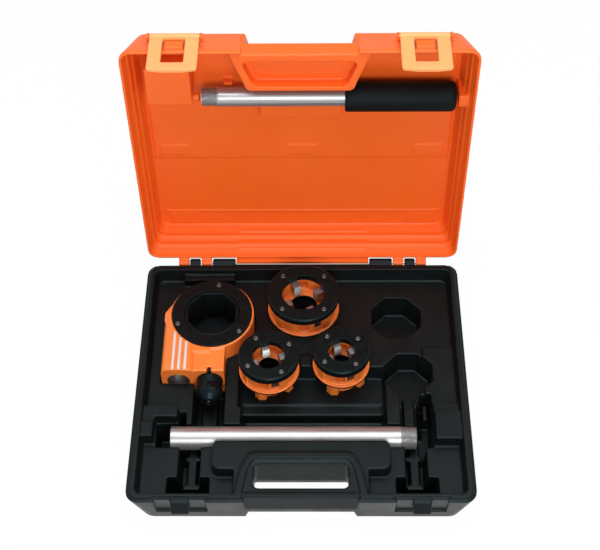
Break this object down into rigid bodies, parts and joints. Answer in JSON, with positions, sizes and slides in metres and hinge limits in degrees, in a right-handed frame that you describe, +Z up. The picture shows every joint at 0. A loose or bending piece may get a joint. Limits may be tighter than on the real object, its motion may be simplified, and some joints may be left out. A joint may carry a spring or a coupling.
{
  "type": "hand pipe threading set in a carrying case",
  "caption": "Hinged moulded carrying case that holds a ratchet pipe die stock with a sprung pawl knob, round die heads and a two-part tube handle with a rubber grip.",
  "frame": {"origin": "centre of the flat underside of the case base", "axes": "+X to the right across the front of the open case, +Y to the hinges, +Z up"},
  "size_m": [0.4, 0.417, 0.4145],
  "materials": {
    "case_black": "fine moulded grain, black",
    "case_orange": "smooth moulded orange",
    "latch_orange": "smooth moulded pale orange",
    "pin_steel": "drawn steel",
    "body_orange": "orange paint on castings",
    "cover_black": "satin black",
    "screw_steel": "dark zinc",
    "stripe_grey": "light grey paint",
    "tool_steel": "ground tool steel",
    "bush_bronze": "sintered bronze",
    "knob_black": "black plastic",
    "tube_steel": "bright zinc-plated tube",
    "grip_rubber": "fine matt black rubber"
  },
  "bodies": {
    "base": {"base_shell": "case_black", "base_tray": "case_black", "hinge_pin_left": "pin_steel", "hinge_pin_right": "pin_steel"},
    "lid": {"lid_shell": "case_orange", "latch_pin_left": "pin_steel", "latch_pin_right": "pin_steel"},
    "left_latch": {"latch_left": "latch_orange"},
    "right_latch": {"latch_right": "latch_orange"},
    "ratchet_head": {"ratchet_body": "body_orange", "ratchet_cover_ring": "cover_black", "ratchet_cover_screws": "screw_steel", "boss_stripes": "stripe_grey", "pawl_bush": "bush_bronze", "pawl_spring": "tool_steel"},
    "drive_ring": {"ratchet_ring": "cover_black"},
    "pawl_slider": {"pawl_washer": "tool_steel"},
    "pawl_and_knob": {"pawl": "tool_steel", "pawl_knob": "knob_black", "knob_screw": "screw_steel"},
    "large_die_head": {"large_die_body": "body_orange", "large_die_cover": "cover_black", "large_die_chasers": "tool_steel", "large_die_screws": "screw_steel"},
    "medium_die_head": {"medium_die_body": "body_orange", "medium_die_cover": "cover_black", "medium_die_chasers": "tool_steel", "medium_die_screws": "screw_steel"},
    "small_die_head": {"small_die_body": "body_orange", "small_die_cover": "cover_black", "small_die_chasers": "tool_steel", "small_die_screws": "screw_steel"},
    "long_handle": {"handle_tube": "tube_steel"},
    "grip_handle": {"grip_tube": "tube_steel", "handle_grip": "grip_rubber"}
  },
  "joints": [
    {"name": "lid_hinge", "type": "hinge", "parent": "base", "child": "lid", "pos_m": [0, 0.178, 0.057], "axis": [-1, 0, 0], "range_deg": [-91.6, 0]},
    {"name": "left_latch_hinge", "type": "hinge", "parent": "lid", "child": "left_latch", "pos_m": [-0.138, 0.21345, 0.40935], "axis": [-1, 0, 0], "range_deg": [0, 110]},
    {"name": "right_latch_hinge", "type": "hinge", "parent": "lid", "child": "right_latch", "pos_m": [0.138, 0.21345, 0.40935], "axis": [-1, 0, 0], "range_deg": [0, 110]},
    {"name": "ratchet_lift", "type": "slide", "parent": "base", "child": "ratchet_head", "axis": [0, 0, 1], "range_m": [0, 0.12]},
    {"name": "drive_ring_spin", "type": "hinge", "parent": "ratchet_head", "child": "drive_ring", "pos_m": [-0.1127, 0.087, 0.045], "axis": [0, 0, 1], "continuous": true},
    {"name": "pawl_pull", "type": "slide", "parent": "ratchet_head", "child": "pawl_slider", "axis": [0, -1, 0], "range_m": [0, 0.006], "stiffness_N_per_m": 800, "springref_m": -0.005, "deforming": ["pawl_spring"]},
    {"name": "pawl_turn", "type": "hinge", "parent": "pawl_slider", "child": "pawl_and_knob", "pos_m": [-0.1127, 0, 0.044], "axis": [0, -1, 0], "range_deg": [0, 180]},
    {"name": "large_die_lift", "type": "slide", "parent": "base", "child": "large_die_head", "axis": [0, 0, 1], "range_m": [0, 0.12]},
    {"name": "medium_die_lift", "type": "slide", "parent": "base", "child": "medium_die_head", "axis": [0, 0, 1], "range_m": [0, 0.12]},
    {"name": "small_die_lift", "type": "slide", "parent": "base", "child": "small_die_head", "axis": [0, 0, 1], "range_m": [0, 0.12]},
    {"name": "long_handle_lift", "type": "slide", "parent": "base", "child": "long_handle", "axis": [0, 0, 1], "range_m": [0, 0.1]},
    {"name": "grip_handle_pull", "type": "slide", "parent": "lid", "child": "grip_handle", "axis": [0, -0.9996, 0.0279], "range_m": [0, 0.06]}
  ]
}
